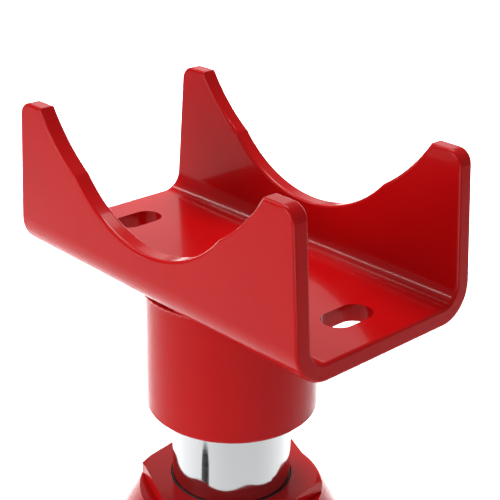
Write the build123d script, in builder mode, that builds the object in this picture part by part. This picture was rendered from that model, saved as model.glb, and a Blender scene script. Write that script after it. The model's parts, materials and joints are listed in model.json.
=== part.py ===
from build123d import *
import math
import os

os.makedirs("parts", exist_ok=True)

# Row frame: origin on the ram axis at the underside of the base, +Z up, pump towards -Y,
# saddle channel along X. All lengths in mm, angles in degrees.

# ---- overall sizes ----
RAM_D = 50.0              # chromed ram
PISTON_STEP = 6.0         # piston beyond the ram, radial
CYL_WALL = 8.0            # pressure cylinder
OIL_GAP = 12.0            # oil space between cylinder and tank, radial
TANK_WALL = 3.0
BOSS_STEP = 6.0           # round boss of the foot beyond the tank, radial
FOOT_MARGIN = 12.0        # foot beyond the tank at the sides and the front
PUMP_MARGIN = 20.74       # foot beyond the pump axis at the rear
FOOT_H = 22.0
FOOT_CORNER = 18.0
BOSS_H = 22.0             # boss above the top of the foot
NUT_TOP = 206.0           # top of the hexagon of the top nut
RAM_DOWN = 34.0           # travel left below the pose shown

# ---- saddle ----
SAD_W = 91.2              # across the channel walls
SAD_L = 164.4             # along the channel, at the floor
SAD_H = 65.0              # floor underside to horn tips
SAD_T = 7.0               # plate thickness
SAD_BEND = 14.7           # outside bend radius
SAD_TAPER = 0.078         # each end leans in by this much per unit of height
HORN_CORNER = 6.0
CUSP_ROUND = 4.0
EDGE_ROUND = 1.2          # cut edges of the channel walls
CRADLE_Z = 24.1           # bottom of the cradle above the floor underside
CRADLE_R = 55.0           # smaller axle radius
CUSP_X = 41.5             # where the two cradle radii meet
CRADLE_R2 = 75.0          # larger axle radius
SLOT_X = 61.5             # slot centres from the middle
SLOT_W = 13.0
SLOT_L = 22.5
COLLAR_GAP = 1.0          # collar bore over ram, radial
COLLAR_WALL = 9.25
COLLAR_DEPTH = 55.2
WELD_LEG = 2.6

# ---- fits and clearances, radial unless said ----
FIT = 0.05                # pins, shafts and turned spigots
SEAT = 0.10               # parts seated in castings
FREE = 0.30               # bodies that pass without touching
THREAD_GAP = 0.30         # plain stand-in for a running thread
END_GAP = 0.80            # collar over the top nut with the ram right down, axial
BREAK = 1.0               # ordinary broken corner
OVER = 1.0                # how far a cut runs past the face it starts on
GASKET_T = 2.0

# ---- top nut and ram wiper ----
NUT_WALL = 14.2           # hexagon corner beyond the ram, radial
NUT_HEX_H = 6.0
HEX_TURN = 38.0           # a hexagon corner from +X
NUT_CONE = 27.5           # slope of the cone below the hexagon, from the axis
NUT_LAP = 3.0             # rim of the nut beyond the tank, radial
NUT_SKIRT = 12.0          # rim height
NUT_NECK = 20.0           # solid nut above the cylinder
NUT_SHY = 2.4             # corners of the hexagon turned away, radial
WIPER_T = 3.5             # wiper body, radial
WIPER_LIP = 0.8           # lip showing round the ram, radial
WIPER_LOW = 8.0           # wiper faces below the top of the nut
WIPER_HIGH = 3.0

# ---- piston, extension screw and swivel cap ----
RAM_WALL = 7.0            # ram outside the screw
SCREW_LEAD = 6.0
SCREW_RISE = 60.0
RIDGE = 1.8               # depth of the screw ridges
SCREW_HEAD_H = 8.0
STUD_R = 10.0             # stud that carries the cap
CAP_H = 8.0
THREAD_LEN = 40.0         # internal thread at the mouth of the ram
STOP_H = 6.0
STOP_STEP = 3.0           # stop ring beyond the screw, radial
STUB_STEP = 6.0           # stub below the stop ring inside the screw, radial
CLIP_T = 1.8              # stop ring clip
CLIP_DEEP = 1.3           # its groove
RAM_REST = 4.0            # ram end above the cylinder seat with the ram right down
NUT_SPACE = 12.0          # ram end to piston head, room for nut and cup
PISTON_H = 14.0
PISTON_GROOVE = 3.6
PLUG_LAP = 20.0           # plug up inside the ram
STEM_PART = 0.56          # piston stem to ram

# ---- pump ----
PLUNGER_D = 12.0
GLAND_T = 3.0             # packing round the plunger
PAD_H = 12.0              # pad of the foot under the pump
PUMP_H = 50.0             # pump body above the pad
PUMP_HEX_H = 12.0
GLAND_H = 6.0             # packing height, also nut above the body
NUT_GRIP = 8.0            # gland nut down over the body
EYE_GAP = 6.0             # gland nut to plunger eye with the lever down
PIVOT_GAP = 13.0          # fulcrum beyond the tank
LINK_RISE = 10.0          # lower link pin above the boss
ARM = 26.0                # fulcrum to plunger pin
SWING = 30.0              # lever half swing
FULC_PIN_R = 5.0
PLUNGER_PIN_R = 4.0
PIN_LAND = 5.0            # metal round the plunger pin, radial
CHEEK_T = 6.4             # each side of the lever casting
PLATE_T = 5.0
PLATE_EDGE = 8.0          # link plate half width
PIN_END = 3.4             # pin ends beyond the plates
PIN_GROOVE = 1.2          # clip groove width
SNAP_T = 1.0              # pin clip thickness

# ---- handle socket ----
SOCKET_RISE = 15.0        # socket axis above level at rest
SOCKET_BORE_R = 14.5
SOCKET_DEPTH = 55.0
SOCKET_WALL = 4.5
SOCKET_ROOT = 20.0        # plunger pin to the root of the socket
SOCKET_NECK_R = 13.0
SOCKET_LIP = 2.0          # rolled mouth beyond the socket, radial
FULC_EAR_R = 8.5
EAR_R = 9.5

# ---- passages and valves in the foot ----
OIL_HOLE_R = 2.5
VALVE_HOLE_R = 2.0
CHECK_BORE = 6.0
CHECK_BALL_R = 4.5
VALVE_BALL_R = 3.2
VALVE_SHAFT_R = 5.0
BALL_BACK = 2.1           # release and overload ball centres out from their bore ends
CHECK_BACK = 2.25         # check ball centres in from the ends of their bores
PLUG_HEAD_R = 9.5
CAP_HEAD_R = 9.0
HEAD_T = 5.0              # plug heads outside the foot
HEX_KEY = 8.0             # key sockets in the plugs, across flats
KNOB_R = 8.0              # release valve head
KNOB_H = 16.0
KNOB_FLAT = 5.6           # across its flats
KNOB_CUT = 11.0

# ---- filler and strainer ----
FILL_DROP = 22.0          # filler below the top of the tank
FILL_R = 5.0
STRAINER_R = 4.4
STRAINER_WALL = 0.8
STRAINER_H = 10.0

# ---- sizes that follow ----
RAM_R = RAM_D / 2
BORE_R = RAM_R + PISTON_STEP
CYL_R = BORE_R + CYL_WALL
TANK_IN = CYL_R + OIL_GAP
TANK_R = TANK_IN + TANK_WALL
BOSS_R = TANK_R + BOSS_STEP
SIDE = TANK_R + FOOT_MARGIN
BOSS_TOP = FOOT_H + BOSS_H
TANK_SEAT = BOSS_TOP - 8.0                # bottom of the groove the tank stands in
SEAT_Z = FOOT_H - 6.0                     # floor of the cylinder seat

NUT_HEX_R = RAM_R + NUT_WALL
HEX_Z = NUT_TOP - NUT_HEX_H
RIM_R = TANK_R + NUT_LAP
RIM_Z = HEX_Z - (RIM_R - NUT_HEX_R) / math.tan(math.radians(NUT_CONE))
RIM_SEAT = RIM_Z - 2.0                    # inside face of the nut over the tank
TANK_TOP = RIM_SEAT - GASKET_T
CYL_TOP = NUT_TOP - NUT_NECK
WIPER_R = RAM_R + WIPER_T
LIP_R = RAM_R + WIPER_LIP
FILL_Z = TANK_TOP - FILL_DROP

FLOOR_Z = NUT_TOP + END_GAP + RAM_DOWN + COLLAR_DEPTH      # underside of the saddle channel
RAM_TOP = FLOOR_Z - CAP_H - SCREW_HEAD_H
RAM_FOOT = SEAT_Z + RAM_DOWN + RAM_REST
PISTON_Z = RAM_FOOT + NUT_SPACE
PISTON_TOP = PISTON_Z + PISTON_H
PISTON_R = BORE_R - 0.08
STEM_R = RAM_R * STEM_PART
COLLAR_IN = RAM_R + COLLAR_GAP
COLLAR_R = COLLAR_IN + COLLAR_WALL

SCREW_R = RAM_R - RAM_WALL
SCREW_HOLE_R = SCREW_R + THREAD_GAP
STOP_R = SCREW_R + STOP_STEP
STOP_TOP = RAM_TOP - THREAD_LEN - SCREW_RISE - 2.0
STUB_R = SCREW_R - STUB_STEP
STUB_END = STOP_TOP - STOP_H - 4.0
CLIP_Z = STOP_TOP - STOP_H - 2.4
HEAD_R = RAM_R - 3.0
CAP_R = RAM_R - 2.0

PLUNGER_R = PLUNGER_D / 2
GLAND_R = PLUNGER_R + GLAND_T
SPIGOT_R = GLAND_R + 2.0                  # threaded top of the pump body
PUMP_R = SPIGOT_R + 3.0
WELL_R = PUMP_R - 2.0                     # bottom of the pump body
WELL_Z = FOOT_H - 9.0
PAD_TOP = FOOT_H + PAD_H
BODY_TOP = PAD_TOP + PUMP_H
GLAND_TOP = BODY_TOP + GLAND_H
PLUNGER_FOOT = PAD_TOP + 2.0
EYE_R = PLUNGER_PIN_R + PIN_LAND
TILT = math.radians(SWING)
FULC_Y = TANK_R + PIVOT_GAP
FULC_Z = GLAND_TOP + EYE_GAP + EYE_R + ARM * math.sin(TILT)
LINK_Z = BOSS_TOP + LINK_RISE
EYE_SHIFT = ARM * (1 - math.cos(TILT)) / 2
PUMP_Y = -(FULC_Y + ARM * (1 + math.cos(TILT)) / 2)
PIN_Y = -(FULC_Y + ARM * math.cos(TILT))
PIN_Z = FULC_Z - ARM * math.sin(TILT)
FORK_HALF = PLUNGER_R + 0.4               # half width of the gap for the plunger eye
LEVER_HALF = FORK_HALF + CHEEK_T
PLATE_IN = LEVER_HALF + FREE
PLATE_OUT = PLATE_IN + PLATE_T
SOCKET_R = SOCKET_BORE_R + SOCKET_WALL
MOUTH = SOCKET_ROOT + 5.0 + SOCKET_DEPTH
REAR = PUMP_MARGIN - PUMP_Y               # foot reach to -Y

PORT_Z = FOOT_H / 2                       # height of every level drilling
OIL_R = (CYL_R + TANK_IN) / 2 + 1.0       # ring where drillings rise into the tank
VALVE_Y = -0.71 * BORE_R                  # release and overload bores, one in each side
RISE_VALVE_X = math.sqrt(OIL_R ** 2 - VALVE_Y ** 2)
VALVE_SEAT = RISE_VALVE_X - 4.4           # their ball seats from the middle
INNER_X = math.sqrt((BORE_R - 3.2) ** 2 - VALVE_Y ** 2)
VALVE_BORE = VALVE_SHAFT_R + FREE
VALVE_REACH = SIDE - VALVE_SEAT
CHECK_X = 0.775 * BORE_R                  # feed drillings from the middle
BALL_X = CHECK_X - CHECK_BACK
CHECK_REACH = SIDE - BALL_X
RISE_FEED_Y = -math.sqrt(OIL_R ** 2 - CHECK_X ** 2)
PRESS_FEED_Y = -math.sqrt((BORE_R - 2.7) ** 2 - CHECK_X ** 2)


def turned(pts, at=(0, 0, 0), along=(0, 0, 1), side=(1, 0, 0), mode=Mode.ADD):
    """Turn a closed outline of (radius, distance along) pairs about an axis."""
    frame = Plane(origin=at, x_dir=side, z_dir=Vector(*side).cross(Vector(*along)))
    with BuildSketch(frame) as outline:
        with BuildLine():
            Polyline(*pts, close=True)
        make_face()
    revolve(outline.sketch, axis=Axis(at, along), mode=mode)


def ring(r_in, r_out, z0, z1, ch=0.0):
    """Outline of a plain ring with its outer corners broken by ch."""
    if not ch:
        return [(r_in, z0), (r_out, z0), (r_out, z1), (r_in, z1)]
    lower = [(r_in, z0), (r_out - ch, z0), (r_out, z0 + ch)]
    upper = [(r_out, z1 - ch), (r_out - ch, z1), (r_in, z1)]
    return lower + upper


def drill(at, along, r, length, tip=True):
    """Cut a round hole, with a drill point unless it is flat or runs through."""
    side = (0, 0, 1) if abs(along[2]) < 0.5 else (1, 0, 0)
    end = length + (r * 0.6 if tip else 0.0)
    turned([(0, 0), (r, 0), (r, length), (0, end)], at, along, side, Mode.SUBTRACT)


def prism(plane, across_flats, height, mode=Mode.ADD):
    """A hexagon prism standing on a plane."""
    with BuildSketch(plane) as hexagon:
        RegularPolygon(across_flats / 2, 6, major_radius=False)
    extrude(hexagon.sketch, amount=height, mode=mode)


def save(builder, label):
    builder.part.label = label
    export_step(builder.part, f"parts/{label}.step")


# ================= base casting =================
with BuildPart() as base:
    with BuildSketch(Plane.XY):
        with Locations((0, (SIDE - REAR) / 2)):
            RectangleRounded(2 * SIDE, SIDE + REAR, FOOT_CORNER)
    extrude(amount=FOOT_H)
    chamfer(base.faces().sort_by(Axis.Z)[-1].edges(), 3.0)
    # boss for the tank with a cast fillet at its root, pad for the pump
    turned(ring(0, BOSS_R, FOOT_H / 2, BOSS_TOP, 1.5))
    root = [(0, FOOT_H - 1), (BOSS_R + 4, FOOT_H - 1), (BOSS_R + 1.2, FOOT_H + 1.2)]
    turned(root + [(BOSS_R, FOOT_H + 4), (0, FOOT_H + 4)])
    turned(ring(0, PUMP_R + 6, FOOT_H / 2, PAD_TOP, BREAK), (0, PUMP_Y, 0))
    # rib and ear for the link plates
    with BuildSketch(Plane.YZ.offset(-LEVER_HALF)):
        with BuildLine():
            foot_line = [(-BOSS_R + 8, FOOT_H - 2), (-FULC_Y - 6, FOOT_H - 2)]
            ear_line = [(-FULC_Y - 6, LINK_Z), (-FULC_Y + 6, LINK_Z)]
            boss_line = [(-FULC_Y + 6, BOSS_TOP - 6), (-BOSS_R + 8, BOSS_TOP - 6)]
            Polyline(*foot_line, *ear_line, *boss_line, close=True)
        make_face()
        with Locations((-FULC_Y, LINK_Z)):
            Circle(6.0)
    extrude(amount=2 * LEVER_HALF)
    # cylinder seat, tank groove, pump well with its sump, link pin hole
    turned(ring(0, CYL_R + SEAT, SEAT_Z, BOSS_TOP + OVER), mode=Mode.SUBTRACT)
    turned(ring(TANK_IN - SEAT, TANK_R + SEAT, TANK_SEAT, BOSS_TOP + OVER), mode=Mode.SUBTRACT)
    well_depth = PAD_TOP + OVER - WELL_Z + GASKET_T
    drill((0, PUMP_Y, PAD_TOP + OVER), (0, 0, -1), WELL_R + SEAT, well_depth, tip=False)
    drill((0, PUMP_Y, WELL_Z), (0, 0, -1), PLUNGER_R + 1, WELL_Z - 6, tip=False)
    ear_width = 2 * (LEVER_HALF + OVER)
    drill((-LEVER_HALF - OVER, -FULC_Y, LINK_Z), (1, 0, 0), FULC_PIN_R + FIT, ear_width, tip=False)
    # on each side a check valve bore at the pump, and a release or overload bore beside the ram
    riser = BOSS_TOP + OVER - PORT_Z
    for sx in (-1, 1):
        inward = (-sx, 0, 0)
        drill((sx * (SIDE + OVER), PUMP_Y, PORT_Z), inward, CHECK_BORE, SIDE + OVER - CHECK_X + 4)
        drill((sx * (CHECK_X + OVER), PUMP_Y, PORT_Z), inward, OIL_HOLE_R, CHECK_X + OVER - PLUNGER_R)
        drill((sx * (SIDE + OVER), VALVE_Y, PORT_Z), inward, VALVE_BORE, VALVE_REACH - 0.5)
        drill((sx * (VALVE_SEAT + 3), VALVE_Y, PORT_Z), inward, VALVE_HOLE_R, VALVE_SEAT + 3 - INNER_X)
        drill((sx * RISE_VALVE_X, VALVE_Y, BOSS_TOP + OVER), (0, 0, -1), OIL_HOLE_R, riser)
        drill((sx * INNER_X, VALVE_Y, SEAT_Z + OVER), (0, 0, -1), VALVE_HOLE_R, SEAT_Z + OVER - PORT_Z)
    # suction feed down from the tank, pressure feed across to the cylinder
    drill((CHECK_X, PUMP_Y, PORT_Z), (0, 1, 0), OIL_HOLE_R, RISE_FEED_Y - PUMP_Y)
    drill((CHECK_X, RISE_FEED_Y, BOSS_TOP + OVER), (0, 0, -1), OIL_HOLE_R, riser)
    drill((-CHECK_X, PUMP_Y, PORT_Z), (0, 1, 0), OIL_HOLE_R, PRESS_FEED_Y - PUMP_Y)
    drill((-CHECK_X, PRESS_FEED_Y, SEAT_Z + OVER), (0, 0, -1), OIL_HOLE_R, SEAT_Z + OVER - PORT_Z)
save(base, "base_casting")

# ================= cylinder, tank and their gaskets =================
with BuildPart() as cyl_gasket:
    turned(ring(BORE_R + 0.5, CYL_R - 0.2, SEAT_Z, SEAT_Z + GASKET_T))
save(cyl_gasket, "cylinder_gasket")

with BuildPart() as cylinder:
    outer = ring(BORE_R + BREAK, CYL_R, SEAT_Z + GASKET_T, CYL_TOP, BREAK)
    turned(outer + [(BORE_R, CYL_TOP - BREAK), (BORE_R, SEAT_Z + GASKET_T)])
save(cylinder, "cylinder_tube")

for label, z in (("reservoir_gasket_lower", TANK_SEAT), ("reservoir_gasket_upper", TANK_TOP)):
    with BuildPart() as tank_gasket:
        turned(ring(TANK_IN, TANK_R, z, z + GASKET_T))
    save(tank_gasket, label)

with BuildPart() as tank:
    turned(ring(TANK_IN, TANK_R, TANK_SEAT + GASKET_T, TANK_TOP))
    drill((TANK_IN - 3, 0, FILL_Z), (1, 0, 0), FILL_R + FIT, TANK_WALL + 7, tip=False)
save(tank, "reservoir_tube")

with BuildPart() as strainer:
    roof = BOSS_TOP + STRAINER_H
    mesh_in = STRAINER_R - STRAINER_WALL
    inside = [(0, roof - OVER), (mesh_in, roof - OVER), (mesh_in, BOSS_TOP)]
    turned(inside + [(STRAINER_R, BOSS_TOP), (STRAINER_R, roof), (0, roof)], (CHECK_X, RISE_FEED_Y, 0))
save(strainer, "suction_strainer")

with BuildPart() as filler:
    stem = [(0, -6), (FILL_R - 0.4, -6), (FILL_R, -4), (FILL_R, 0.2)]
    head = [(FILL_R + 3, 0.2), (FILL_R + 3, 2.6), (FILL_R + 1.8, 3.6), (3.4, 3.6), (3.4, 7), (0, 7)]
    turned(stem + head, (TANK_R, 0, FILL_Z), (1, 0, 0), (0, 0, 1))
save(filler, "filler_plug")

# ================= top nut and ram wiper =================
GROOVE_LOW = NUT_TOP - WIPER_LOW
GROOVE_HIGH = NUT_TOP - WIPER_HIGH
with BuildPart() as top_nut:
    skirt = [(0, RIM_Z - NUT_SKIRT), (RIM_R - BREAK, RIM_Z - NUT_SKIRT), (RIM_R, RIM_Z - NUT_SKIRT + BREAK)]
    turned(skirt + [(RIM_R, RIM_Z), (NUT_HEX_R, HEX_Z), (0, HEX_Z)])
    with BuildSketch(Plane.XY.offset(HEX_Z - OVER)):
        RegularPolygon(NUT_HEX_R, 6, rotation=HEX_TURN)
    extrude(amount=NUT_HEX_H + OVER)
    corner = [(NUT_HEX_R - NUT_SHY, NUT_TOP), (NUT_HEX_R + OVER, NUT_TOP - 1.6)]
    past = [(NUT_HEX_R + OVER, NUT_TOP + OVER), (NUT_HEX_R - NUT_SHY, NUT_TOP + OVER)]
    turned(corner + past, mode=Mode.SUBTRACT)
    under = RIM_Z - NUT_SKIRT - OVER
    over_tank = [(0, under), (TANK_R + SEAT, under), (TANK_R + SEAT, RIM_SEAT)]
    over_cylinder = [(CYL_R + FIT, RIM_SEAT), (CYL_R + FIT, CYL_TOP), (RAM_R + SEAT, CYL_TOP)]
    groove = [(RAM_R + SEAT, GROOVE_LOW), (WIPER_R, GROOVE_LOW), (WIPER_R, GROOVE_HIGH)]
    mouth = [(LIP_R, GROOVE_HIGH), (LIP_R, NUT_TOP + OVER), (0, NUT_TOP + OVER)]
    turned(over_tank + over_cylinder + groove + mouth, mode=Mode.SUBTRACT)
    turned(ring(CYL_R + 4, TANK_IN - 3, RIM_SEAT - OVER, RIM_Z + 8), mode=Mode.SUBTRACT)
save(top_nut, "top_nut")

with BuildPart() as wiper:
    body = [(RAM_R + FIT, GROOVE_LOW), (WIPER_R - SEAT, GROOVE_LOW), (WIPER_R - SEAT, GROOVE_HIGH)]
    lip = [(LIP_R, GROOVE_HIGH), (LIP_R, NUT_TOP - 0.8), (RAM_R + 0.3, NUT_TOP - 0.2)]
    turned(body + lip + [(RAM_R + FIT, NUT_TOP - 0.2)])
save(wiper, "ram_wiper")

# ================= pump =================
PUMP = (0, PUMP_Y, 0)
with BuildPart() as pump_gasket:
    turned(ring(PLUNGER_R + 1.5, WELL_R - 0.2, WELL_Z - GASKET_T, WELL_Z), PUMP)
save(pump_gasket, "pump_gasket")

with BuildPart() as pump_body:
    below = [(0, WELL_Z), (WELL_R, WELL_Z), (WELL_R, PAD_TOP), (PUMP_R, PAD_TOP)]
    above = [(PUMP_R, BODY_TOP - 10), (SPIGOT_R, BODY_TOP - 10), (SPIGOT_R, BODY_TOP), (0, BODY_TOP)]
    turned(below + above, PUMP)
    prism(Plane((0, PUMP_Y, PAD_TOP)), 2 * PUMP_R + 2, PUMP_HEX_H)
    bore_r = PLUNGER_R + 0.5
    bore = [(0, WELL_Z - OVER), (bore_r, WELL_Z - OVER), (bore_r, BODY_TOP - GLAND_H)]
    packing = [(GLAND_R, BODY_TOP - GLAND_H), (GLAND_R, BODY_TOP + OVER), (0, BODY_TOP + OVER)]
    turned(bore + packing, PUMP, mode=Mode.SUBTRACT)
save(pump_body, "pump_body")

with BuildPart() as gland_seal:
    turned(ring(PLUNGER_R + FIT, GLAND_R - SEAT, BODY_TOP - GLAND_H, BODY_TOP), PUMP)
save(gland_seal, "pump_gland_seal")

with BuildPart() as gland_nut:
    nut_low = BODY_TOP - NUT_GRIP
    roof = BODY_TOP + 0.4
    flats = SPIGOT_R + 2.0
    prism(Plane((0, PUMP_Y, nut_low)), 2 * flats, GLAND_TOP - nut_low)
    over_body = [(0, nut_low - OVER), (SPIGOT_R + FIT, nut_low - OVER), (SPIGOT_R + FIT, roof)]
    round_stem = [(PLUNGER_R + SEAT, roof), (PLUNGER_R + SEAT, GLAND_TOP + OVER), (0, GLAND_TOP + OVER)]
    turned(over_body + round_stem, PUMP, mode=Mode.SUBTRACT)
    corner = [(flats - 0.6, GLAND_TOP), (flats + 3, GLAND_TOP - 2.1)]
    past = [(flats + 3, GLAND_TOP + OVER), (flats - 0.6, GLAND_TOP + OVER)]
    turned(corner + past, PUMP, mode=Mode.SUBTRACT)
save(gland_nut, "pump_gland_nut")

with BuildPart() as plunger:
    seal_low = PLUNGER_FOOT + 3.0
    seal_high = seal_low + 3.0
    end = [(0, PLUNGER_FOOT), (PLUNGER_R - BREAK, PLUNGER_FOOT), (PLUNGER_R, PLUNGER_FOOT + BREAK)]
    groove_r = PLUNGER_R - 1.5
    neck = [(PLUNGER_R, seal_low), (groove_r, seal_low), (groove_r, seal_high), (PLUNGER_R, seal_high)]
    turned(end + neck + [(PLUNGER_R, PIN_Z), (0, PIN_Z)], PUMP)
    # eye with a level slot, so the pin can swing past the plunger axis
    eye_half = FORK_HALF - FREE
    with BuildSketch(Plane.YZ.offset(-eye_half)):
        with Locations((PUMP_Y, PIN_Z)):
            Circle(EYE_R)
    extrude(amount=2 * eye_half)
    pin_room = PLUNGER_PIN_R + FREE
    with BuildSketch(Plane.YZ.offset(-PLUNGER_R - OVER)):
        with Locations((PUMP_Y, PIN_Z)):
            SlotOverall(2 * (pin_room + EYE_SHIFT), 2 * pin_room)
    extrude(amount=2 * (PLUNGER_R + OVER), mode=Mode.SUBTRACT)
save(plunger, "pump_plunger")

with BuildPart() as plunger_seal:
    turned(ring(groove_r + FIT, PLUNGER_R + 0.45, seal_low + SEAT, seal_high - SEAT), PUMP)
save(plunger_seal, "plunger_seal")

# ================= fulcrum links and pins =================
with BuildPart() as links:
    for x0 in (PLATE_IN, -PLATE_OUT):
        with BuildSketch(Plane.YZ.offset(x0)):
            with Locations((-FULC_Y, (LINK_Z + FULC_Z) / 2)):
                SlotOverall(FULC_Z - LINK_Z + 2 * PLATE_EDGE, 2 * PLATE_EDGE, rotation=90)
            with Locations((-FULC_Y, LINK_Z), (-FULC_Y, FULC_Z)):
                Circle(FULC_PIN_R + FIT, mode=Mode.SUBTRACT)
        extrude(amount=PLATE_T)
save(links, "link_plates")


def cross_pin(r, neck_r, neck, half, at, ch=0.0):
    """A plain pin along X with a clip groove just inside each end."""
    tip = [(0, half), (r - ch, half), (r, half - ch)] if ch else [(0, half), (r, half)]
    groove = [(r, neck + PIN_GROOVE), (neck_r, neck + PIN_GROOVE), (neck_r, neck), (r, neck)]
    right = tip + groove
    left = [(radius, -reach) for radius, reach in reversed(right)]
    turned(right + left, at, (1, 0, 0), (0, 0, 1))


def clip(r_neck, r_out, x0, y, z):
    """An open retaining clip in the YZ plane, its gap facing down."""
    with BuildSketch(Plane.YZ.offset(x0)) as shape:
        with Locations((y, z)):
            Circle(r_out)
            Circle(r_neck + 0.02, mode=Mode.SUBTRACT)
        with Locations((y, z - r_out)):
            Rectangle(r_neck * 1.3, 2 * r_out - r_neck * 0.9, mode=Mode.SUBTRACT)
    extrude(shape.sketch, amount=SNAP_T)


FULC_NECK_R = FULC_PIN_R - 1.0
for label, z in (("link_lower_pin", LINK_Z), ("fulcrum_pin", FULC_Z)):
    with BuildPart() as pin:
        cross_pin(FULC_PIN_R, FULC_NECK_R, PLATE_OUT + 0.4, PLATE_OUT + PIN_END, (0, -FULC_Y, z), 0.8)
    save(pin, label)

with BuildPart() as link_clips:
    for z in (LINK_Z, FULC_Z):
        for x0 in (PLATE_OUT + 0.5, -PLATE_OUT - 0.5 - SNAP_T):
            clip(FULC_NECK_R, FULC_PIN_R + 3, x0, -FULC_Y, z)
save(link_clips, "link_pin_clips")

# ================= handle socket =================
SOCK = (0, -math.cos(math.radians(SOCKET_RISE)), math.sin(math.radians(SOCKET_RISE)))
NECK_Y = PIN_Y + (SOCKET_ROOT + 2) * SOCK[1]
NECK_Z = PIN_Z + (SOCKET_ROOT + 2) * SOCK[2]
PIN_AT = (0, PIN_Y, PIN_Z)
STEM_EXIT = EAR_R / math.cos(TILT) + PLUNGER_R * math.tan(TILT)
FORK_R = math.hypot(STEM_EXIT, PLUNGER_R) + 2 * FREE      # clears the stem with the lever right up
with BuildPart() as socket:
    for y, z, r in ((-FULC_Y, FULC_Z, FULC_EAR_R), (NECK_Y, NECK_Z, SOCKET_NECK_R)):
        with BuildSketch(Plane.YZ.offset(-LEVER_HALF)):
            with Locations((y, z)):
                Circle(r)
            with Locations((PIN_Y, PIN_Z)):
                Circle(EAR_R)
            make_hull()
        extrude(amount=2 * LEVER_HALF)
    cup_root = [(0, SOCKET_ROOT - 2), (SOCKET_NECK_R, SOCKET_ROOT - 2), (SOCKET_R, SOCKET_ROOT + 6)]
    lip_r = SOCKET_R + SOCKET_LIP
    cup_lip = [(SOCKET_R, MOUTH - 9), (lip_r, MOUTH - 7), (lip_r, MOUTH - BREAK), (lip_r - BREAK, MOUTH)]
    turned(cup_root + cup_lip + [(0, MOUTH)], PIN_AT, SOCK)
    bottom = MOUTH - SOCKET_DEPTH
    handle_bore = [(0, bottom), (SOCKET_BORE_R, bottom), (SOCKET_BORE_R, MOUTH - BREAK)]
    lead_in = [(SOCKET_BORE_R + 1.5, MOUTH + 0.5), (0, MOUTH + 0.5)]
    turned(handle_bore + lead_in, PIN_AT, SOCK, mode=Mode.SUBTRACT)
    with BuildSketch(Plane.YZ.offset(-FORK_HALF)):
        with Locations((PIN_Y, PIN_Z)):
            Circle(FORK_R)
    extrude(amount=2 * FORK_HALF, mode=Mode.SUBTRACT)
    for y, z, r in ((-FULC_Y, FULC_Z, FULC_PIN_R + FIT), (PIN_Y, PIN_Z, PLUNGER_PIN_R + FIT)):
        drill((-LEVER_HALF - OVER, y, z), (1, 0, 0), r, 2 * (LEVER_HALF + OVER), tip=False)
save(socket, "handle_socket")

PLUNGER_NECK_R = PLUNGER_PIN_R - 0.8
with BuildPart() as plunger_pin:
    cross_pin(PLUNGER_PIN_R, PLUNGER_NECK_R, LEVER_HALF + 0.4, LEVER_HALF + 3.2, PIN_AT)
save(plunger_pin, "plunger_pin")

with BuildPart() as plunger_clips:
    for x0 in (LEVER_HALF + 0.5, -LEVER_HALF - 0.5 - SNAP_T):
        clip(PLUNGER_NECK_R, PLUNGER_PIN_R + 2.4, x0, PIN_Y, PIN_Z)
save(plunger_clips, "plunger_pin_clips")


# ================= valves in the foot =================
def sphere(at, r):
    """A steel ball turned about the X axis."""
    with BuildSketch(Plane(origin=at, x_dir=(1, 0, 0), z_dir=(0, -1, 0))) as half:
        with BuildLine():
            ThreePointArc((-r, 0), (0, r), (r, 0))
            Line((r, 0), (-r, 0))
        make_face()
    revolve(half.sketch, axis=Axis(at, (1, 0, 0)))


def coil(at, along, r, wire, length, turns):
    """A round wire compression spring, standing on a point."""
    path = Helix(length / turns, length, r, center=at, direction=along)
    with BuildSketch(Plane(origin=path @ 0, z_dir=path % 0)) as wire_end:
        Circle(wire)
    sweep(wire_end.sketch, path=Wire(path.edges()), is_frenet=True)


def side_plug(at, out, reach, shank, shank_r, head_r):
    """A plug in the side of the foot: shank in the bore, head outside, key socket in the head."""
    shank_line = [(0, reach - shank), (shank_r, reach - shank), (shank_r, reach), (head_r, reach)]
    head_line = [(head_r, reach + HEAD_T - BREAK), (head_r - BREAK, reach + HEAD_T), (0, reach + HEAD_T)]
    turned(shank_line + head_line, at, out, (0, 0, 1))
    outer_face = (at[0] + out[0] * (reach + HEAD_T), at[1], at[2])
    key = Plane(origin=outer_face, x_dir=(0, 1, 0), z_dir=(-out[0], 0, 0))
    prism(key, HEX_KEY, HEAD_T - BREAK, Mode.SUBTRACT)


for sx, name in ((1, "suction"), (-1, "discharge")):
    out = (sx, 0, 0)
    seat_at = (sx * BALL_X, PUMP_Y, PORT_Z)
    spring_at = (sx * (BALL_X + CHECK_BALL_R + 0.7), PUMP_Y, PORT_Z)
    with BuildPart() as check_ball:
        sphere(seat_at, CHECK_BALL_R)
    save(check_ball, f"{name}_ball")
    with BuildPart() as check_spring:
        coil(spring_at, out, 3.4, 0.5, CHECK_REACH - 19.0, 6)
    save(check_spring, f"{name}_spring")
    with BuildPart() as check_plug:
        side_plug(seat_at, out, CHECK_REACH, 13.0, CHECK_BORE - FIT, PLUG_HEAD_R)
    save(check_plug, f"{name}_plug")

for sx, name in ((1, "release"), (-1, "overload")):
    with BuildPart() as valve_ball:
        sphere((sx * (VALVE_SEAT + BALL_BACK), VALVE_Y, PORT_Z), VALVE_BALL_R)
    save(valve_ball, f"{name}_ball")

OVER_AT = (-VALVE_SEAT, VALVE_Y, PORT_Z)
SET_OUT = VALVE_REACH - 7.5               # outer face of the setting screw
with BuildPart() as over_spring:
    coil((-VALVE_SEAT - 6.0, VALVE_Y, PORT_Z), (-1, 0, 0), 3.6, 0.7, VALVE_REACH - 20.6, 4)
save(over_spring, "overload_spring")

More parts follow.
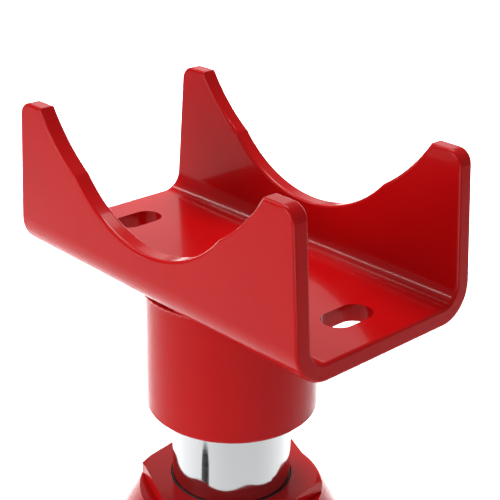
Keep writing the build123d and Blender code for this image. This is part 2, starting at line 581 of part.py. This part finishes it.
with BuildPart() as over_screw:
    turned(ring(0, VALVE_BORE - FIT, SET_OUT - 6, SET_OUT), OVER_AT, (-1, 0, 0), (0, 0, 1))
    set_face = (-VALVE_SEAT - SET_OUT, VALVE_Y, PORT_Z)
    with BuildSketch(Plane(origin=set_face, x_dir=(0, 1, 0), z_dir=(1, 0, 0))):
        Rectangle(2 * VALVE_BORE + 2 * OVER, 1.6)
    extrude(amount=2.0, mode=Mode.SUBTRACT)
save(over_screw, "overload_screw")

with BuildPart() as over_cap:
    side_plug(OVER_AT, (-1, 0, 0), VALVE_REACH, 7.0, VALVE_BORE - FIT, CAP_HEAD_R)
save(over_cap, "overload_cap")

REL_AT = (VALVE_SEAT, VALVE_Y, PORT_Z)
SEAL_IN = VALVE_REACH - 9.0               # groove of the release seal
SEAL_OUT = VALVE_REACH - 5.0
KNOB_IN = VALVE_REACH + 4.0
KNOB_OUT = KNOB_IN + KNOB_H
with BuildPart() as spindle:
    nose = [(0, 5.3), (2.4, 5.3), (4.2, 7.0), (4.2, 11.0), (VALVE_SHAFT_R, 12.0)]
    neck = [(VALVE_SHAFT_R, SEAL_IN), (3.4, SEAL_IN), (3.4, SEAL_OUT), (VALVE_SHAFT_R, SEAL_OUT)]
    knob = [(VALVE_SHAFT_R, KNOB_IN), (KNOB_R, KNOB_IN), (KNOB_R, KNOB_OUT - BREAK), (KNOB_R - BREAK, KNOB_OUT)]
    turned(nose + neck + knob + [(0, KNOB_OUT)], REL_AT, (1, 0, 0), (0, 0, 1))
    knob_face = (VALVE_SEAT + KNOB_OUT + OVER, VALVE_Y, PORT_Z)
    with BuildSketch(Plane(origin=knob_face, x_dir=(0, 1, 0), z_dir=(-1, 0, 0))):
        with Locations((-KNOB_FLAT / 2 - KNOB_R / 2, 0), (KNOB_FLAT / 2 + KNOB_R / 2, 0)):
            Rectangle(KNOB_R, 2 * KNOB_R + 2 * OVER)
    extrude(amount=KNOB_CUT + OVER, mode=Mode.SUBTRACT)
save(spindle, "release_spindle")

with BuildPart() as rel_seal:
    turned(ring(3.4 + FIT, VALVE_BORE - 0.02, SEAL_IN + 0.4, SEAL_OUT - 0.4), REL_AT, (1, 0, 0), (0, 0, 1))
save(rel_seal, "release_seal")

# ================= ram and piston =================
with BuildPart() as ram:
    outside = [(STOP_R, PISTON_TOP), (RAM_R, PISTON_TOP), (RAM_R, RAM_TOP - BREAK), (RAM_R - BREAK, RAM_TOP)]
    thread_end = RAM_TOP - THREAD_LEN
    thread = [(SCREW_HOLE_R + BREAK, RAM_TOP), (SCREW_HOLE_R, RAM_TOP - BREAK), (SCREW_HOLE_R, thread_end)]
    turned(outside + thread + [(STOP_R, thread_end)])
save(ram, "ram_rod")

with BuildPart() as ram_plug:
    plug_r = STOP_R - FIT
    stem = [(0, RAM_FOOT), (STEM_R - BREAK, RAM_FOOT), (STEM_R, RAM_FOOT + BREAK), (STEM_R, PISTON_TOP)]
    plug_top = PISTON_TOP + PLUG_LAP
    inside = [(plug_r, PISTON_TOP), (plug_r, plug_top - BREAK), (plug_r - BREAK, plug_top)]
    turned(stem + inside + [(0, plug_top)])
save(ram_plug, "ram_plug")

GROOVE_R = BORE_R - PISTON_GROOVE
GUIDE_LOW = PISTON_Z + 4.0
GUIDE_HIGH = PISTON_Z + 8.0
BOLT_IN = STEM_R + FIT
with BuildPart() as piston_head:
    skirt = [(BOLT_IN, PISTON_Z), (PISTON_R, PISTON_Z), (PISTON_R, GUIDE_LOW), (GROOVE_R, GUIDE_LOW)]
    crown = [(GROOVE_R, GUIDE_HIGH), (PISTON_R, GUIDE_HIGH), (PISTON_R, PISTON_TOP - BREAK)]
    turned(skirt + crown + [(PISTON_R - BREAK, PISTON_TOP), (BOLT_IN, PISTON_TOP)])
save(piston_head, "piston_head")

with BuildPart() as guide_ring:
    turned(ring(GROOVE_R + SEAT, BORE_R - FIT, GUIDE_LOW + SEAT, GUIDE_HIGH - SEAT))
save(guide_ring, "piston_guide_ring")

with BuildPart() as cup:
    web = [(BOLT_IN, PISTON_Z - 4), (BORE_R - 5, PISTON_Z - 4), (BORE_R - 3, PISTON_Z - 8)]
    wall = [(BORE_R - FIT, PISTON_Z - 8), (BORE_R - FIT, PISTON_Z), (BOLT_IN, PISTON_Z)]
    turned(web + wall)
save(cup, "piston_cup_seal")

with BuildPart() as piston_nut:
    prism(Plane.XY.offset(RAM_FOOT + 1), 3 * STEM_R, NUT_SPACE - 5)
    turned(ring(0, BOLT_IN, RAM_FOOT, PISTON_Z), mode=Mode.SUBTRACT)
save(piston_nut, "piston_nut")

# ================= extension screw, its stop ring and the swivel cap =================
ROOT_R = SCREW_R - RIDGE
NECK_R = STUB_R - CLIP_DEEP
with BuildPart() as screw:
    outline = [(0, STUB_END), (STUB_R, STUB_END), (STUB_R, CLIP_Z - SEAT), (NECK_R, CLIP_Z - SEAT)]
    outline += [(NECK_R, CLIP_Z + CLIP_T + SEAT), (STUB_R, CLIP_Z + CLIP_T + SEAT), (STUB_R, STOP_TOP)]
    outline += [(ROOT_R, STOP_TOP), (SCREW_R, STOP_TOP + RIDGE)]
    first = STOP_TOP + RIDGE
    for k in range(int((RAM_TOP - 6.0 - first) / SCREW_LEAD)):
        z = first + SCREW_LEAD * k
        outline += [(SCREW_R, z + SCREW_LEAD * 0.35), (ROOT_R, z + SCREW_LEAD * 0.5)]
        outline += [(ROOT_R, z + SCREW_LEAD * 0.85), (SCREW_R, z + SCREW_LEAD)]
    outline += [(SCREW_R, RAM_TOP - 4), (ROOT_R, RAM_TOP - 3), (ROOT_R, RAM_TOP)]
    outline += ring(STUD_R, HEAD_R, RAM_TOP, RAM_TOP + SCREW_HEAD_H, BREAK)[1:]
    outline += [(STUD_R, FLOOR_Z - 3), (0, FLOOR_Z - 3)]
    turned(outline)
save(screw, "extension_screw")

with BuildPart() as stop_ring:
    turned(ring(STUB_R + FIT, STOP_R - FREE, STOP_TOP - STOP_H, STOP_TOP, 0.6))
save(stop_ring, "screw_stop_ring")

with BuildPart() as stop_clip:
    turned(ring(NECK_R + SEAT, STUB_R + 3, CLIP_Z, CLIP_Z + CLIP_T))
save(stop_clip, "screw_stop_clip")

with BuildPart() as cap:
    skirt_z = FLOOR_Z - CAP_H + FREE
    recess_z = FLOOR_Z - 3 + FREE
    shell = ring(STUD_R + FIT, CAP_R, skirt_z, FLOOR_Z, BREAK)[:-1]
    turned(shell + [(0, FLOOR_Z), (0, recess_z), (STUD_R + FIT, recess_z)])
save(cap, "screw_swivel_cap")

# ================= saddle =================
HALF_W = SAD_W / 2
HALF_L = SAD_L / 2
TIP_Z = FLOOR_Z + SAD_H
TIP_X = HALF_L - SAD_TAPER * SAD_H
CUSP_Z = CRADLE_Z + CRADLE_R - math.sqrt(CRADLE_R ** 2 - CUSP_X ** 2)
BIG_Z = CUSP_Z + math.sqrt(CRADLE_R2 ** 2 - CUSP_X ** 2)
HORN_X = math.sqrt(CRADLE_R2 ** 2 - (BIG_Z - SAD_H) ** 2)
with BuildPart() as bracket:
    # bent channel
    inner = HALF_W - SAD_T
    with BuildSketch(Plane.YZ.offset(-HALF_L - OVER)):
        with BuildLine():
            bends = [(-HALF_W, TIP_Z), (-HALF_W, FLOOR_Z), (HALF_W, FLOOR_Z), (HALF_W, TIP_Z)]
            FilletPolyline(*bends, radius=SAD_BEND)
            Line((HALF_W, TIP_Z), (inner, TIP_Z))
            inner_bends = [(inner, TIP_Z), (inner, FLOOR_Z + SAD_T), (-inner, FLOOR_Z + SAD_T), (-inner, TIP_Z)]
            FilletPolyline(*inner_bends, radius=SAD_BEND - SAD_T)
            Line((-inner, TIP_Z), (-HALF_W, TIP_Z))
        make_face()
    extrude(amount=SAD_L + 2 * OVER)
    # walls cut to four horns with the two axle radii between them
    with BuildSketch(Plane.XZ.offset(-HALF_W - OVER)):
        with BuildLine():
            right = [(HORN_X, TIP_Z), (TIP_X, TIP_Z), (HALF_L, FLOOR_Z)]
            Polyline(*right, (-HALF_L, FLOOR_Z), (-TIP_X, TIP_Z), (-HORN_X, TIP_Z))
            RadiusArc((-HORN_X, TIP_Z), (-CUSP_X, FLOOR_Z + CUSP_Z), -CRADLE_R2)
            RadiusArc((-CUSP_X, FLOOR_Z + CUSP_Z), (CUSP_X, FLOOR_Z + CUSP_Z), -CRADLE_R)
            RadiusArc((CUSP_X, FLOOR_Z + CUSP_Z), (HORN_X, TIP_Z), -CRADLE_R2)
        make_face()
    extrude(amount=SAD_W + 2 * OVER, mode=Mode.INTERSECT)
    across = bracket.edges().filter_by(Axis.Y)
    tips = across.filter_by(lambda e: e.center().Z > TIP_Z - 0.1 and abs(e.center().X) > TIP_X - 1)
    fillet(tips, HORN_CORNER)
    across = bracket.edges().filter_by(Axis.Y)
    cusps = across.filter_by(lambda e: abs(abs(e.center().X) - CUSP_X) < 0.1)
    fillet(cusps.filter_by(lambda e: abs(e.center().Z - FLOOR_Z - CUSP_Z) < 0.5), CUSP_ROUND)
    walls = bracket.faces().filter_by(Axis.Y).filter_by(lambda f: f.area > 100)
    fillet(walls.edges().filter_by(lambda e: e.center().Z > FLOOR_Z + SAD_BEND + 0.5), EDGE_ROUND)
    with BuildSketch(Plane.XY.offset(FLOOR_Z - OVER)):
        with Locations((-SLOT_X, 0), (SLOT_X, 0)):
            SlotOverall(SLOT_L, SLOT_W, rotation=90)
    extrude(amount=SAD_T + 2 * OVER, mode=Mode.SUBTRACT)
save(bracket, "saddle_bracket")

with BuildPart() as collar:
    low = FLOOR_Z - COLLAR_DEPTH
    foot = [(COLLAR_IN + 0.8, low), (COLLAR_R - BREAK, low), (COLLAR_R, low + BREAK)]
    turned(foot + [(COLLAR_R, FLOOR_Z), (COLLAR_IN, FLOOR_Z), (COLLAR_IN, low + 0.8)])
save(collar, "saddle_collar")

with BuildPart() as weld:
    lower = (COLLAR_R + WELD_LEG * 0.45, FLOOR_Z - WELD_LEG * 0.6)
    upper = (COLLAR_R + WELD_LEG * 0.8, FLOOR_Z - WELD_LEG * 0.3)
    turned([(COLLAR_R, FLOOR_Z - WELD_LEG), lower, upper, (COLLAR_R + WELD_LEG, FLOOR_Z), (COLLAR_R, FLOOR_Z)])
save(weld, "saddle_weld")
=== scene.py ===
import bpy
import bmesh
import json
import math
from mathutils import Matrix, Vector


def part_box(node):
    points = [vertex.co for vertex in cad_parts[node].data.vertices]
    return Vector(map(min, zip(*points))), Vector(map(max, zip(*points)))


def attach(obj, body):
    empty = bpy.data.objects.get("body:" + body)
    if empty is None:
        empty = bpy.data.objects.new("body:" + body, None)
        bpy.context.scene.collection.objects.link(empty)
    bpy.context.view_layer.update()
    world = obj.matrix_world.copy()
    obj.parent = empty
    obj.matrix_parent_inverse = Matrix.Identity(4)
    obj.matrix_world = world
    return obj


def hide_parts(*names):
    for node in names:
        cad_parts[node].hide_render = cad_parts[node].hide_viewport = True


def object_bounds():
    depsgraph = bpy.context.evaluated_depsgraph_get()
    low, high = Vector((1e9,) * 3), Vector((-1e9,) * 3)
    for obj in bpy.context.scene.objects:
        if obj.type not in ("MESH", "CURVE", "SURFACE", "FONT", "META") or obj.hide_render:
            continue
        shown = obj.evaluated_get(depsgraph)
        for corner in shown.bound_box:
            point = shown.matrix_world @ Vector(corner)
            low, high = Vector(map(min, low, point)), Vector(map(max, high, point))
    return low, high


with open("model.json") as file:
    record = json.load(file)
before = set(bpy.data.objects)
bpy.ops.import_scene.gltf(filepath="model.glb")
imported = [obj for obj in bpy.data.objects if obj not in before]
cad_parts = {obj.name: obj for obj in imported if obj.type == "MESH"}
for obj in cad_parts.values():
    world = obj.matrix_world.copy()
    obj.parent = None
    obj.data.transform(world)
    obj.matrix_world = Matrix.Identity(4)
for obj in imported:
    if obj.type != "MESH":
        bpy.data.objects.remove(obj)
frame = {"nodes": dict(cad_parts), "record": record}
cad_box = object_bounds()

# ---- saddle bracket ----
# A channel bent from 7 mm plate, its walls cut to a cradle of two radii, and the turned collar
# under it. Gloss red powder coat is baked over both, cut edges and all.


def blank_material(name):
    """An empty node tree with its output shader and the object's own coordinates."""
    material = bpy.data.materials.new(name)
    material.use_nodes = True
    nodes, links = material.node_tree.nodes, material.node_tree.links
    nodes.clear()
    output = nodes.new("ShaderNodeOutputMaterial")
    shader = nodes.new("ShaderNodeBsdfPrincipled")
    links.new(shader.outputs["BSDF"], output.inputs["Surface"])
    place = nodes.new("ShaderNodeTexCoord")
    return material, nodes, links, shader, place.outputs["Object"]


def noise(nodes, links, place, scale, detail, stretch=(1, 1, 1)):
    """Noise laid through the solid, stretched along the axes."""
    spread = nodes.new("ShaderNodeMapping")
    spread.inputs["Scale"].default_value = stretch
    links.new(place, spread.inputs["Vector"])
    grain = nodes.new("ShaderNodeTexNoise")
    grain.inputs["Scale"].default_value = scale
    grain.inputs["Detail"].default_value = detail
    links.new(spread.outputs["Vector"], grain.inputs["Vector"])
    return grain.outputs["Fac"]


def tint(nodes, links, shader, factor, low, high, start=0.3, end=0.7):
    """Base colour blended between two by a grey value."""
    ramp = nodes.new("ShaderNodeValToRGB")
    for element, position, colour in zip(ramp.color_ramp.elements, (start, end), (low, high)):
        element.position = position
        element.color = (*colour, 1)
    links.new(factor, ramp.inputs["Fac"])
    links.new(ramp.outputs["Color"], shader.inputs["Base Color"])


def levels(nodes, links, factor, low, high):
    """A grey value, which noise keeps between about 0.3 and 0.7, spread between two numbers."""
    spread = nodes.new("ShaderNodeMapRange")
    spread.inputs["From Min"].default_value = 0.3
    spread.inputs["From Max"].default_value = 0.7
    spread.inputs["To Min"].default_value = low
    spread.inputs["To Max"].default_value = high
    links.new(factor, spread.inputs["Value"])
    return spread.outputs["Result"]


def roughen(nodes, links, shader, factor, low, high):
    """Roughness spread between two numbers by a grey value."""
    links.new(levels(nodes, links, factor, low, high), shader.inputs["Roughness"])


def relief(nodes, links, shader, height, depth, strength):
    """Bump on the shader from a grey height, its depth in metres."""
    bump = nodes.new("ShaderNodeBump")
    bump.inputs["Strength"].default_value = strength
    bump.inputs["Distance"].default_value = depth
    links.new(height, bump.inputs["Height"])
    links.new(bump.outputs["Normal"], shader.inputs["Normal"])


def red_powder_coat(name, orange_peel, cast=0.0):
    """Thick gloss red with a clear top layer; cast is the depth of a sand skin beneath it."""
    material, nodes, links, shader, place = blank_material(name)
    deep_red, bright_red = (0.41, 0.0024, 0.0034), (0.47, 0.0034, 0.0046)
    tint(nodes, links, shader, noise(nodes, links, place, 14, 3), deep_red, bright_red)
    roughen(nodes, links, shader, noise(nodes, links, place, 60, 2), 0.17, 0.25)
    peel = noise(nodes, links, place, 240 if cast else 420, 2)
    relief(nodes, links, shader, peel, orange_peel + cast, 0.5)
    shader.inputs["Specular IOR Level"].default_value = 0.08
    shader.inputs["Coat Weight"].default_value = 0.16
    shader.inputs["Coat Roughness"].default_value = 0.04
    shader.inputs["Coat IOR"].default_value = 1.5
    return material


def dress(material, *names):
    """Give CAD nodes their finish."""
    for name in names:
        node = frame["nodes"][name]
        if not node.material_slots:
            node.data.materials.append(material)
        for slot in node.material_slots:
            slot.link = "OBJECT"
            slot.material = material


plate_red = red_powder_coat("plate_powder_coat", 0.00002)
dress(plate_red, "saddle_bracket", "saddle_collar")

# ---- saddle weld ----
# One fillet bead run round the top of the collar under the plate, with its ripples, painted
# over with the same red.


def new_piece(name, mesh, body, material):
    """Put a mesh in the scene, smooth, finished and riding on its body."""
    piece = bpy.data.objects.new(name, mesh)
    bpy.context.scene.collection.objects.link(piece)
    mesh.materials.append(material)
    for face in mesh.polygons:
        face.use_smooth = True
    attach(piece, body)
    return piece


def turned_mesh(name, outline, steps, ripple):
    """A closed ring turned about the Z axis from (radius, height) pairs; ripple shifts each point."""
    mesh = bpy.data.meshes.new(name)
    work = bmesh.new()
    rows = []
    for step in range(steps):
        angle = 2 * math.pi * step / steps
        row = []
        for k, (radius, height) in enumerate(outline):
            out, up = ripple(k, angle)
            reach = radius + out
            row.append(work.verts.new((reach * math.cos(angle), reach * math.sin(angle), height + up)))
        rows.append(row)
    for step in range(steps):
        here, there = rows[step], rows[(step + 1) % steps]
        for k in range(len(outline)):
            n = (k + 1) % len(outline)
            work.faces.new((here[k], there[k], there[n], here[n]))
    bmesh.ops.recalc_face_normals(work, faces=work.faces)
    work.to_mesh(mesh)
    work.free()
    return mesh


weld_low, weld_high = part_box("saddle_weld")
collar_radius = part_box("saddle_collar")[1].x
weld_leg = weld_high.x - collar_radius
weld_height = weld_high.z - weld_low.z
bead_fill = 0.93
bead_bulge = 1.3
bead_steps = 8
bead_root = 0.0004
plate_gap, toe_gap = 0.0001, 0.0003
ripple_count, ripple_height, wander_height = 64, 0.00024, 0.00010
crescent_lag = 2.2
bead_arc = [(collar_radius - bead_root, weld_high.z - plate_gap)]
for step in range(bead_steps + 1):
    turn = math.pi / 2 * step / bead_steps
    bead_arc.append((collar_radius + weld_leg * bead_fill * math.cos(turn) ** bead_bulge,
                     weld_high.z - weld_height * bead_fill * math.sin(turn) ** bead_bulge))
bead_arc.append((collar_radius - bead_root, weld_low.z + toe_gap))


def weld_ripple(k, angle):
    """The bead's crescent ripples, strongest at its crown."""
    crown = math.sin(math.pi * k / (bead_steps + 2))
    ripple = 0.5 + 0.5 * math.cos(ripple_count * angle + crescent_lag * crown)
    wander = 0.5 * math.sin(5 * angle) + 0.3 * math.sin(11 * angle + 1)
    swell = crown * (ripple_height * ripple + wander_height * wander)
    return swell, -swell


bead_mesh = turned_mesh("weld_bead", bead_arc, steps=8 * ripple_count, ripple=weld_ripple)
bead = new_piece("weld_bead", bead_mesh, "saddle", plate_red)
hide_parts("saddle_weld")

# ---- ram ----
# A steel tube ground, hard chromed and polished as it turns, which leaves faint rings of
# duller and brighter gloss round it.
chrome, nodes, links, shader, place = blank_material("hard_chrome")
dark_chrome, bright_chrome = (0.56, 0.57, 0.58), (0.64, 0.65, 0.66)
rings = noise(nodes, links, place, 60, 4, (0.4, 0.4, 14))
tint(nodes, links, shader, noise(nodes, links, place, 9, 3), dark_chrome, bright_chrome)
roughen(nodes, links, shader, rings, 0.06, 0.13)
shader.inputs["Metallic"].default_value = 1.0
dress(chrome, "ram_rod")

# ---- extension screw ----
# A turned steel screw with a rolled thread, running inside the ram. Its foot is grooved for
# the stop ring's clip and its head carries the swivel cap.


def machined_metal(name, low, high, rough):
    """Bare metal with fine tool marks round the piece and a faint stain."""
    material, nodes, links, shader, place = blank_material(name)
    marks = noise(nodes, links, place, 90, 4, (0.5, 0.5, 10))
    stain = noise(nodes, links, place, 22, 3)
    tint(nodes, links, shader, stain, low, high)
    roughen(nodes, links, shader, marks, *rough)
    relief(nodes, links, shader, marks, 0.00001, 0.35)
    shader.inputs["Metallic"].default_value = 1.0
    return material


turned_steel = machined_metal("turned_steel", (0.36, 0.36, 0.37), (0.50, 0.50, 0.51), rough=(0.22, 0.38))
screw_steel = machined_metal("oiled_screw_steel", (0.26, 0.255, 0.25), (0.38, 0.375, 0.37),
                             rough=(0.24, 0.42))
dress(screw_steel, "screw_stop_ring", "screw_stop_clip")
dress(turned_steel, "screw_swivel_cap")

screw_low, screw_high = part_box("extension_screw")
clip_low, clip_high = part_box("screw_stop_clip")
ram_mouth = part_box("ram_rod")[1].z
thread_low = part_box("screw_stop_ring")[1].z
crest, root = 0.018, 0.0162
foot, neck, stud = 0.012, 0.0107, 0.010
corner, flank_round = 0.001, 0.0003
run_out, clip_gap, cap_gap = 0.003, 0.0001, 0.0003
thread_high = ram_mouth - run_out
head_radius = screw_high.x
head_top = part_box("screw_swivel_cap")[0].z - cap_gap
couplings = {coupling["joint"]: coupling["ratio"]
             for coupling in frame["record"]["behaviour"]["couplings"]}
lead = couplings["screw_rise"] * 2 * math.pi
tail = [(0, screw_low.z), (foot, screw_low.z),
        (foot, clip_low.z - clip_gap), (neck, clip_low.z - clip_gap),
        (neck, clip_high.z + clip_gap), (foot, clip_high.z + clip_gap),
        (foot, thread_low), (root, thread_low)]
head = [(root, thread_high), (root, ram_mouth),
        (head_radius - corner, ram_mouth), (head_radius, ram_mouth + corner),
        (head_radius, head_top - corner), (head_radius - corner, head_top),
        (stud, head_top), (stud, screw_high.z), (0, screw_high.z)]
thread_form = [(0.0, crest), (0.32, crest), (0.38, crest - flank_round),
               (0.48, root + flank_round), (0.54, root), (0.80, root),
               (0.86, root + flank_round), (0.96, crest - flank_round)]


def screw_column(angle):
    """The screw's outline at one angle; its ridges climb by the lead in each turn."""
    column = list(tail)
    for turn in range(-1, int((thread_high - thread_low) / lead) + 1):
        for share, radius in thread_form:
            height = thread_low + lead * (turn + share + angle / (2 * math.pi))
            if thread_low < height < thread_high:
                column.append((radius, height))
            else:
                column.append((root, min(max(height, thread_low), thread_high)))
    return column + head


def threaded_mesh(name, steps):
    """A screw skinned over its columns, its seam and its collapsed rows welded shut."""
    mesh = bpy.data.meshes.new(name)
    work = bmesh.new()
    columns = []
    for step in range(steps + 1):
        angle = 2 * math.pi * step / steps
        columns.append([work.verts.new((radius * math.cos(angle), radius * math.sin(angle), height))
                        for radius, height in screw_column(angle)])
    for here, there in zip(columns, columns[1:]):
        for k in range(len(here) - 1):
            work.faces.new((here[k], there[k], there[k + 1], here[k + 1]))
    bmesh.ops.remove_doubles(work, verts=work.verts, dist=0.000002)
    bmesh.ops.recalc_face_normals(work, faces=work.faces)
    work.to_mesh(mesh)
    work.free()
    return mesh


screw_mesh = threaded_mesh("lead_screw", steps=120)
lead_screw = new_piece("lead_screw", screw_mesh, "screw", screw_steel)
lead_screw.data.set_sharp_from_angle(angle=math.radians(40))
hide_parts("extension_screw")

# ---- top nut ----
# A forged and turned nut that closes the reservoir and holds the cylinder down, painted with
# the body in gloss red.
nut_red = red_powder_coat("nut_gloss_paint", 0.00002)
dress(nut_red, "top_nut")

# ---- rubber pieces ----
# Wiper, gaskets, cups, O-ring and the filler plug: black nitrile rubber, moulded matt with a
# faint bloom.
rubber, nodes, links, shader, place = blank_material("nitrile_rubber")
carbon_black, bloom_grey = (0.016, 0.016, 0.017), (0.034, 0.034, 0.036)
tint(nodes, links, shader, noise(nodes, links, place, 45, 3), carbon_black, bloom_grey)
roughen(nodes, links, shader, noise(nodes, links, place, 120, 2), 0.5, 0.68)
relief(nodes, links, shader, noise(nodes, links, place, 900, 2), 0.00003, 0.3)
dress(rubber, "ram_wiper", "reservoir_gasket_lower", "reservoir_gasket_upper",
      "pump_gland_seal", "piston_cup_seal", "plunger_seal", "release_seal", "filler_plug")

# ---- reservoir and base ----
# The reservoir is drawn tube, smooth under its paint. The base is sand-cast iron, so the same
# red lies over a grainy skin.
tube_red = red_powder_coat("tube_gloss_paint", 0.00003)
cast_red = red_powder_coat("painted_casting", 0.00002, cast=0.00022)
dress(tube_red, "reservoir_tube")
dress(cast_red, "base_casting")

# ---- cylinder and piston ----
# Honed steel cylinder, machined piston, plug and nut, a natural nylon guide ring and soft
# copper sealing rings, all inside.
dress(turned_steel, "cylinder_tube", "ram_plug", "piston_head", "piston_nut")
nylon, nodes, links, shader, place = blank_material("natural_nylon")
cream, pale_cream = (0.66, 0.62, 0.50), (0.78, 0.75, 0.66)
tint(nodes, links, shader, noise(nodes, links, place, 30, 3), cream, pale_cream)
roughen(nodes, links, shader, noise(nodes, links, place, 80, 2), 0.38, 0.5)
dress(nylon, "piston_guide_ring")
copper = machined_metal("soft_copper", (0.50, 0.22, 0.11), (0.66, 0.32, 0.18), rough=(0.26, 0.42))
dress(copper, "cylinder_gasket", "pump_gasket")

# ---- pump ----
# The pump's body, nut, pins, clips, plugs and springs are zinc plated steel, screwed, pinned
# or clipped in place. The plunger and the valve balls are hardened, ground and polished.
zinc, nodes, links, shader, place = blank_material("zinc_plate")
dull_zinc, bright_zinc = (0.48, 0.49, 0.50), (0.62, 0.63, 0.645)
tint(nodes, links, shader, noise(nodes, links, place, 70, 4), dull_zinc, bright_zinc)
roughen(nodes, links, shader, noise(nodes, links, place, 140, 3), 0.26, 0.42)
relief(nodes, links, shader, noise(nodes, links, place, 400, 3), 0.00002, 0.3)
shader.inputs["Metallic"].default_value = 1.0
dress(zinc, "pump_body", "pump_gland_nut", "link_lower_pin", "fulcrum_pin", "link_pin_clips",
      "plunger_pin", "plunger_pin_clips", "suction_plug", "discharge_plug",
      "overload_screw", "overload_cap", "release_spindle",
      "suction_spring", "discharge_spring", "overload_spring", "suction_strainer")
polished = machined_metal("ground_steel", (0.55, 0.555, 0.56), (0.66, 0.665, 0.67), rough=(0.10, 0.2))
dress(polished, "pump_plunger", "suction_ball", "discharge_ball", "overload_ball", "release_ball")

# ---- handle socket and links ----
# Cast steel socket and pressed links in satin black paint, rubbed at the edges where the
# handle and pins work.
black, nodes, links, shader, place = blank_material("satin_black_paint")
edge = nodes.new("ShaderNodeNewGeometry")
rubbed = noise(nodes, links, place, 55, 5)
worn = nodes.new("ShaderNodeMath")
worn.operation = "MULTIPLY"
links.new(levels(nodes, links, edge.outputs["Pointiness"], -1.0, 2.6), worn.inputs[0])
links.new(rubbed, worn.inputs[1])
satin_black, rubbed_grey = (0.017, 0.017, 0.018), (0.07, 0.068, 0.066)
tint(nodes, links, shader, worn.outputs[0], satin_black, rubbed_grey, start=0.72, end=0.95)
roughen(nodes, links, shader, rubbed, 0.32, 0.46)
relief(nodes, links, shader, noise(nodes, links, place, 260, 3), 0.00012, 0.35)
dress(black, "handle_socket", "link_plates")

# ---- studio ----
# A plain pale floor lit from straight above behind the jack, a soft box in front, one behind
# and one low at the side, and a narrow strip overhead that catches the rounded edges.


def emit_panel(name, size, watts, place, aim, spread=180):
    """A softbox aimed at a point; a narrow spread, in degrees, keeps its light off the rest."""
    light = bpy.data.lights.new(name, "AREA")
    light.shape = "RECTANGLE"
    light.size, light.size_y = size
    light.energy = watts
    light.spread = math.radians(spread)
    lamp = bpy.data.objects.new(name, light)
    bpy.context.scene.collection.objects.link(lamp)
    lamp.location = place
    lamp.rotation_euler = (Vector(aim) - Vector(place)).to_track_quat("-Z", "Y").to_euler()


def lay_floor():
    """A wide, flat, pale floor level with the underside of the foot."""
    mesh = bpy.data.meshes.new("studio_floor")
    work = bmesh.new()
    bmesh.ops.create_grid(work, x_segments=2, y_segments=2, size=9.0)
    work.to_mesh(mesh)
    work.free()
    floor = bpy.data.objects.new("studio_floor", mesh)
    bpy.context.scene.collection.objects.link(floor)
    floor.location = (0, 0, cad_box[0][2])
    material, nodes, links, shader, place = blank_material("pale_paper")
    pale, paler = (0.86, 0.86, 0.86), (0.88, 0.88, 0.88)
    tint(nodes, links, shader, noise(nodes, links, place, 3, 2), pale, paler)
    shader.inputs["Roughness"].default_value = 0.85
    mesh.materials.append(material)


lay_floor()
world = bpy.data.worlds.new("studio")
bpy.context.scene.world = world
world.use_nodes = True
background = world.node_tree.nodes["Background"]
background.inputs["Color"].default_value = (1, 1, 1, 1)
background.inputs["Strength"].default_value = 0.28
middle = Vector((0, 0, 0.3))
emit_panel("front_box", (0.8, 0.6), 8.5, place=(-0.25, -1.25, 0.42), aim=middle)
emit_panel("back_box", (1.5, 0.8), 4, place=(-1.25, 1.2, 0.95), aim=middle)
emit_panel("edge_strip", (1.1, 0.04), 4, place=(-0.7, -0.45, 1.15), aim=middle)
emit_panel("side_box", (0.5, 0.4), 2.2, place=(0.85, -0.5, 0.12), aim=(0, 0, 0.27))
emit_panel("floor_wash", (2.4, 2.4), 112, place=(-1.4, 1.4, 2.3), aim=(-1.4, 1.4, 0), spread=80)
bpy.context.scene.view_settings.view_transform = "Standard"

# ---- camera ----
# A long lens above the height of the saddle, looking down at the jack from its near right and
# tilted by a degree.
camera_data = bpy.data.cameras.new("camera")
camera = bpy.data.objects.new("camera", camera_data)
bpy.context.scene.collection.objects.link(camera)
azimuth, elevation, roll = math.radians(46.744), math.radians(23.52), math.radians(1.008)
back = Vector((math.sin(azimuth) * math.cos(elevation),
               -math.cos(azimuth) * math.cos(elevation), math.sin(elevation)))
level = Vector((math.cos(azimuth), math.sin(azimuth), 0))
rise = back.cross(level)
right = level * math.cos(roll) + rise * math.sin(roll)
up = rise * math.cos(roll) - level * math.sin(roll)
saddle_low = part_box("saddle_bracket")[0]
stand = Vector((0.32866, -0.30044, saddle_low.z + 0.20670))
camera.matrix_world = Matrix(((right.x, up.x, back.x, stand.x), (right.y, up.y, back.y, stand.y),
                              (right.z, up.z, back.z, stand.z), (0, 0, 0, 1)))
camera_data.sensor_width = 36.0
camera_data.lens = 88.34
camera_data.clip_start = 0.01
bpy.context.scene.camera = camera
